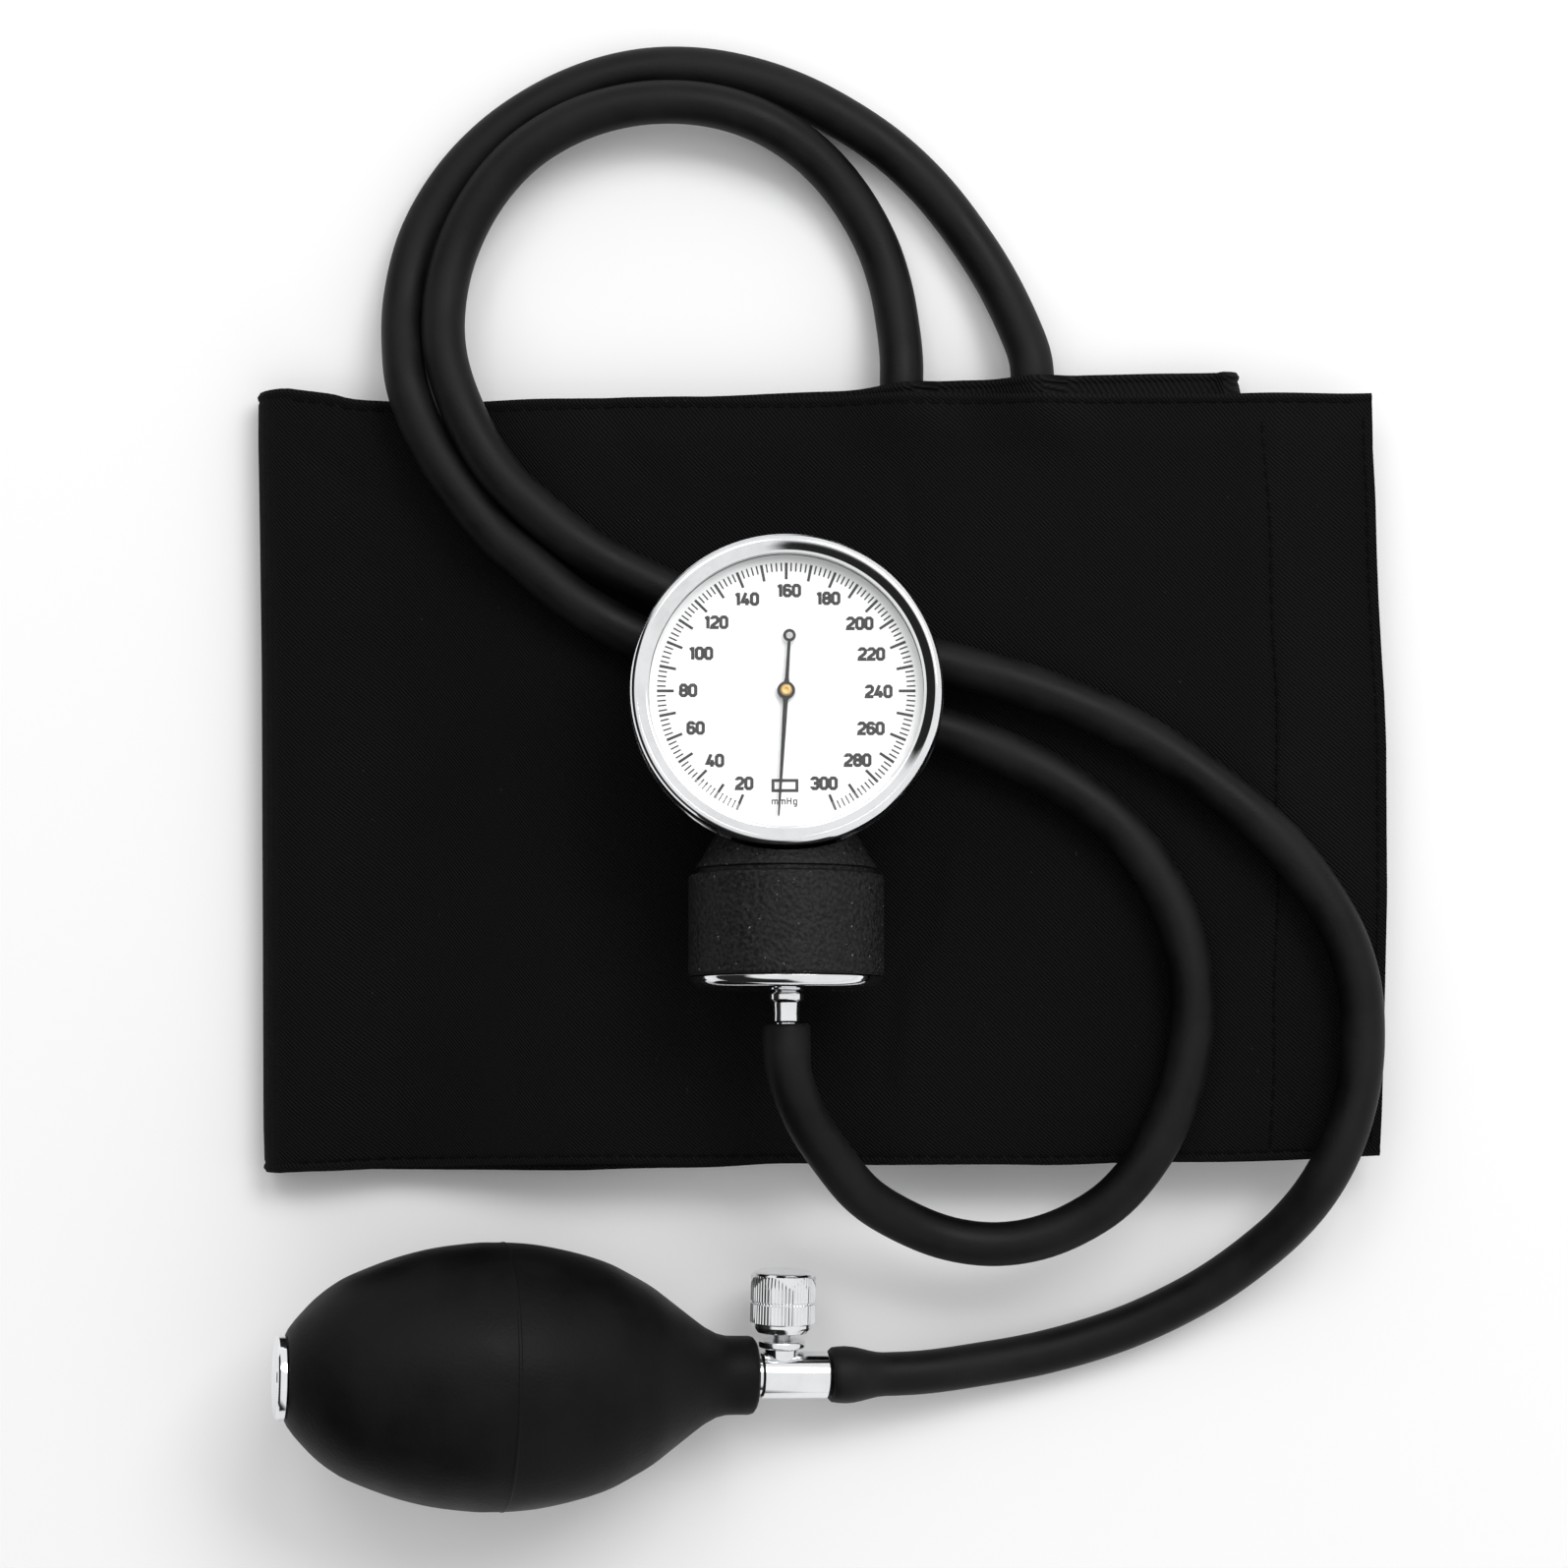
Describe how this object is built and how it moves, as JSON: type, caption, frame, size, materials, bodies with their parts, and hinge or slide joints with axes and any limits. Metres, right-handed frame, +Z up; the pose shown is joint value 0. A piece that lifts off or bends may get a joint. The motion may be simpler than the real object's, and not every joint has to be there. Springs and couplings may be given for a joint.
{
  "type": "upper arm blood pressure monitor",
  "caption": "Aneroid blood pressure monitor: folded fabric arm cuff, round dial gauge and rubber squeeze bulb with a release valve, joined by two rubber hoses.",
  "frame": {"origin": "centre of the underside of the folded cuff and bulb together, on the surface that they rest on", "axes": "+Z up out of the dial side, +Y along the cuff's width towards its hose edge, +X towards the cuff's outer end"},
  "size_m": [0.21, 0.2728, 0.0522],
  "materials": {
    "black_nylon": "fine woven nylon, matt",
    "cuff_lining": "woven nylon, matt",
    "bladder_rubber": "smooth dull rubber",
    "hook_and_loop": "pile and hook tape",
    "black_rubber": "moulded rubber, satin to matt",
    "crinkle_black": "fine crinkle paint with light specks",
    "chrome_plate": "bright plate",
    "brass": "turned brass",
    "steel": "fine turned steel",
    "dial_enamel": "white enamel with a printed black scale",
    "needle_black": "satin black",
    "clear_lens": "clear, flat",
    "spacer_ring": "satin",
    "seal_rubber": "soft black rubber"
  },
  "bodies": {
    "main": {"cuff_outer_fabric": "black_nylon", "cuff_inner_fabric": "cuff_lining", "cuff_bladder": "bladder_rubber", "cuff_loop_patch": "hook_and_loop", "cuff_hook_patch": "hook_and_loop", "bulb_hose": "black_rubber", "gauge_hose": "black_rubber", "gauge_case": "crinkle_black", "gauge_bezel": "chrome_plate", "gauge_lens": "clear_lens", "lens_spacer_ring": "spacer_ring", "gauge_dial": "dial_enamel", "capsule_lower_shell": "brass", "capsule_base": "brass", "drum_gasket": "seal_rubber", "gauge_base_plate": "chrome_plate", "gauge_nipple": "chrome_plate", "movement_back_plate": "brass", "movement_front_plate": "brass", "movement_pillar_left": "brass", "movement_pillar_right": "brass", "movement_pillar_lower": "brass", "movement_screw_left": "steel", "movement_screw_right": "steel", "movement_screw_lower": "steel", "hairspring": "steel", "bulb_shell": "black_rubber", "intake_cap": "chrome_plate", "intake_retainer": "brass", "release_valve_body": "chrome_plate", "valve_collar": "chrome_plate", "outlet_seat": "brass"},
    "rocking_sector": {"sector_gear": "brass", "rocking_shaft": "steel", "rocking_lever": "steel"},
    "needle_assembly": {"needle": "needle_black", "needle_hub": "brass", "pinion_arbor": "brass"},
    "capsule_top": {"capsule_upper_shell": "brass", "push_pin": "steel"},
    "valve_tip": {"valve_seal": "seal_rubber"},
    "valve_screw": {"valve_spindle": "steel", "valve_knob": "chrome_plate"},
    "intake_check": {"intake_ball": "steel"},
    "outlet_check": {"outlet_disc": "seal_rubber"}
  },
  "joints": [
    {"name": "sector_swing", "type": "hinge", "parent": "main", "child": "rocking_sector", "pos_m": [-0.0095, 0.02956, 0.03531], "axis": [0, 0.0872, 0.9962], "range_deg": [0, 37.1], "stiffness_Nm_per_rad": 0.05, "springref_deg": -5.73},
    {"name": "needle_turn", "type": "hinge", "parent": "main", "child": "needle_assembly", "pos_m": [-0.0065, 0.0449, 0.042], "axis": [0, -0.0872, -0.9962], "range_deg": [0, 334.2], "deforming": ["hairspring"]},
    {"name": "capsule_push", "type": "slide", "parent": "main", "child": "capsule_top", "axis": [0, 0.9962, -0.0872], "range_m": [0, 0.00199]},
    {"name": "valve_travel", "type": "slide", "parent": "main", "child": "valve_tip", "axis": [0.0262, 0.9997, 0], "range_m": [0, 0.00105]},
    {"name": "knob_turn", "type": "hinge", "parent": "valve_tip", "child": "valve_screw", "pos_m": [-0.00716, -0.07025, 0.01414], "axis": [0.0262, 0.9997, 0], "range_deg": [0, 540]},
    {"name": "intake_lift", "type": "slide", "parent": "main", "child": "intake_check", "axis": [0.9778, -0.0256, -0.2079], "range_m": [-0.0012, 0]},
    {"name": "outlet_lift", "type": "slide", "parent": "main", "child": "outlet_check", "axis": [0.9778, -0.0256, -0.2079], "range_m": [-0.0015, 0]}
  ],
  "couplings": [
    {"joint": "sector_swing", "follows": "capsule_push", "rad_per_m": 325.8},
    {"joint": "needle_turn", "follows": "capsule_push", "rad_per_m": 2932.2},
    {"joint": "knob_turn", "follows": "valve_travel", "rad_per_m": 8976}
  ]
}
